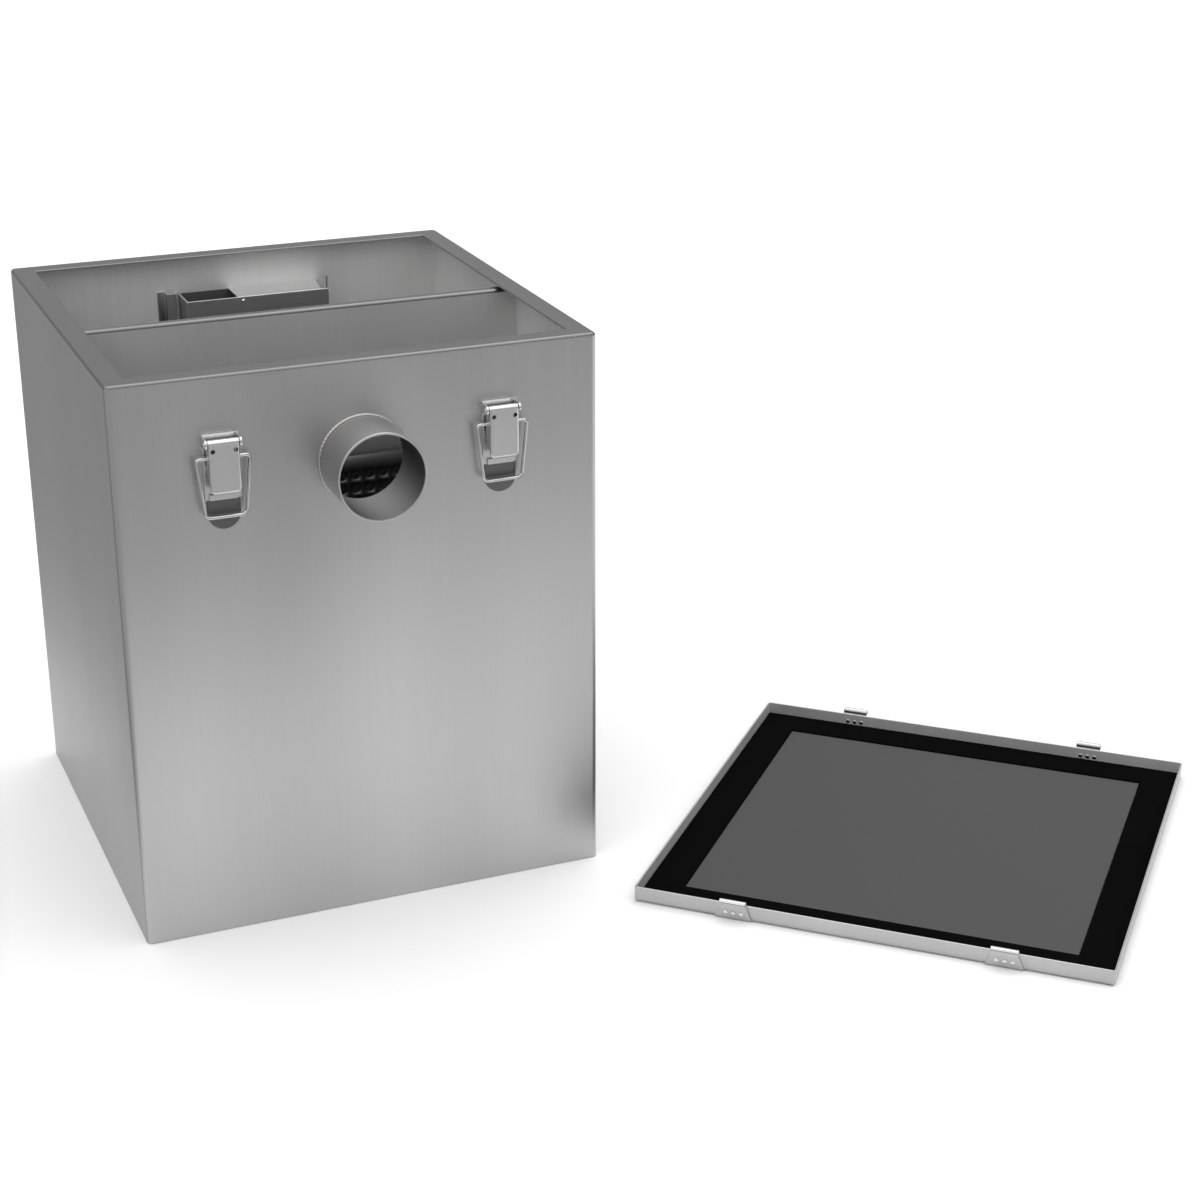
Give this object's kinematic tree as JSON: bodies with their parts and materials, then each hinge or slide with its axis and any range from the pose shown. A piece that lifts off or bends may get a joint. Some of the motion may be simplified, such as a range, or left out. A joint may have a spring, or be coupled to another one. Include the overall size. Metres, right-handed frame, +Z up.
{
  "type": "grease trap",
  "caption": "Upright square stainless grease trap with inlet and outlet spigots, baffle, basket and toggle latches, its gasketed lid lying upside down beside it.",
  "frame": {"origin": "centre of the tank's base, on the floor", "axes": "+Z up; -Y out of the inlet spigot at the front, +Y out of the outlet spigot at the rear; +X to the right seen from the front, where the lid lies"},
  "size_m": [1.0178, 0.8518, 0.5],
  "materials": {
    "tank_sheet": "vertical brushed stainless sheet",
    "lid_sheet": "brushed stainless sheet, lighter",
    "basket_sheet": "perforated stainless sheet",
    "pressed_steel": "smooth pressed stainless",
    "bright_wire": "bright drawn stainless wire",
    "weld": "cleaned weld bead",
    "gasket_rubber": "matt black sheet rubber",
    "lid_liner": "matt mid-grey sheet"
  },
  "bodies": {
    "tank": {"tank_floor": "tank_sheet", "tank_front_wall": "tank_sheet", "tank_rear_wall": "tank_sheet", "tank_left_wall": "tank_sheet", "tank_right_wall": "tank_sheet", "rim_front": "tank_sheet", "rim_rear": "tank_sheet", "rim_left": "tank_sheet", "rim_right": "tank_sheet", "baffle_plate": "tank_sheet", "baffle_brackets": "tank_sheet", "inlet_pipe": "tank_sheet", "inlet_weld": "weld", "outlet_pipe": "tank_sheet", "outlet_weld": "weld", "outlet_box_front": "tank_sheet", "outlet_box_left": "tank_sheet", "outlet_box_right": "tank_sheet", "outlet_box_cover": "tank_sheet", "outlet_box_clip": "pressed_steel", "outlet_box_rivet": "pressed_steel", "basket_rail_left": "tank_sheet", "basket_rail_right": "tank_sheet", "latch_base_front_left": "pressed_steel", "latch_base_front_right": "pressed_steel", "latch_base_rear_left": "pressed_steel", "latch_base_rear_right": "pressed_steel", "latch_pin_front_left": "pressed_steel", "latch_pin_front_right": "pressed_steel", "latch_pin_rear_left": "pressed_steel", "latch_pin_rear_right": "pressed_steel", "latch_rivets": "pressed_steel"},
    "lid": {"lid_pan": "lid_sheet", "lid_gasket": "gasket_rubber", "lid_liner": "lid_liner", "strike_near_left": "pressed_steel", "strike_near_right": "pressed_steel", "strike_far_left": "pressed_steel", "strike_far_right": "pressed_steel", "strike_rivets": "pressed_steel"},
    "basket": {"basket_floor": "basket_sheet", "basket_front": "basket_sheet", "basket_rear": "basket_sheet", "basket_left": "basket_sheet", "basket_right": "basket_sheet", "basket_rim": "basket_sheet"},
    "basket_handle": {"basket_handle": "bright_wire"},
    "lever_front_left": {"lever_front_left": "pressed_steel"},
    "bail_front_left": {"bail_front_left": "bright_wire"},
    "lever_front_right": {"lever_front_right": "pressed_steel"},
    "bail_front_right": {"bail_front_right": "bright_wire"},
    "lever_rear_left": {"lever_rear_left": "pressed_steel"},
    "bail_rear_left": {"bail_rear_left": "bright_wire"},
    "lever_rear_right": {"lever_rear_right": "pressed_steel"},
    "bail_rear_right": {"bail_rear_right": "bright_wire"}
  },
  "joints": [
    {"name": "lid_lift", "type": "slide", "parent": "tank", "child": "lid", "axis": [0, 0, 1], "range_m": [0, 0.6]},
    {"name": "basket_lift", "type": "slide", "parent": "tank", "child": "basket", "axis": [0, 0, 1], "range_m": [0, 0.37]},
    {"name": "handle_fold", "type": "hinge", "parent": "basket", "child": "basket_handle", "pos_m": [0, -0.106, 0.3593], "axis": [-1, 0, 0], "range_deg": [0, 180]},
    {"name": "lever_swing_front_left", "type": "hinge", "parent": "tank", "child": "lever_front_left", "pos_m": [-0.12, -0.2195, 0.446], "axis": [-1, 0, 0], "range_deg": [0, 160]},
    {"name": "bail_swing_front_left", "type": "hinge", "parent": "lever_front_left", "child": "bail_front_left", "pos_m": [-0.12, -0.2175, 0.4335], "axis": [1, 0, 0], "range_deg": [-180, 3]},
    {"name": "lever_swing_front_right", "type": "hinge", "parent": "tank", "child": "lever_front_right", "pos_m": [0.12, -0.2195, 0.446], "axis": [-1, 0, 0], "range_deg": [0, 160]},
    {"name": "bail_swing_front_right", "type": "hinge", "parent": "lever_front_right", "child": "bail_front_right", "pos_m": [0.12, -0.2175, 0.4335], "axis": [1, 0, 0], "range_deg": [-180, 3]},
    {"name": "lever_swing_rear_left", "type": "hinge", "parent": "tank", "child": "lever_rear_left", "pos_m": [-0.12, 0.2195, 0.446], "axis": [1, 0, 0], "range_deg": [0, 160]},
    {"name": "bail_swing_rear_left", "type": "hinge", "parent": "lever_rear_left", "child": "bail_rear_left", "pos_m": [-0.12, 0.2175, 0.4335], "axis": [-1, 0, 0], "range_deg": [-180, 3]},
    {"name": "lever_swing_rear_right", "type": "hinge", "parent": "tank", "child": "lever_rear_right", "pos_m": [0.12, 0.2195, 0.446], "axis": [1, 0, 0], "range_deg": [0, 160]},
    {"name": "bail_swing_rear_right", "type": "hinge", "parent": "lever_rear_right", "child": "bail_rear_right", "pos_m": [0.12, 0.2175, 0.4335], "axis": [-1, 0, 0], "range_deg": [-180, 3]}
  ]
}
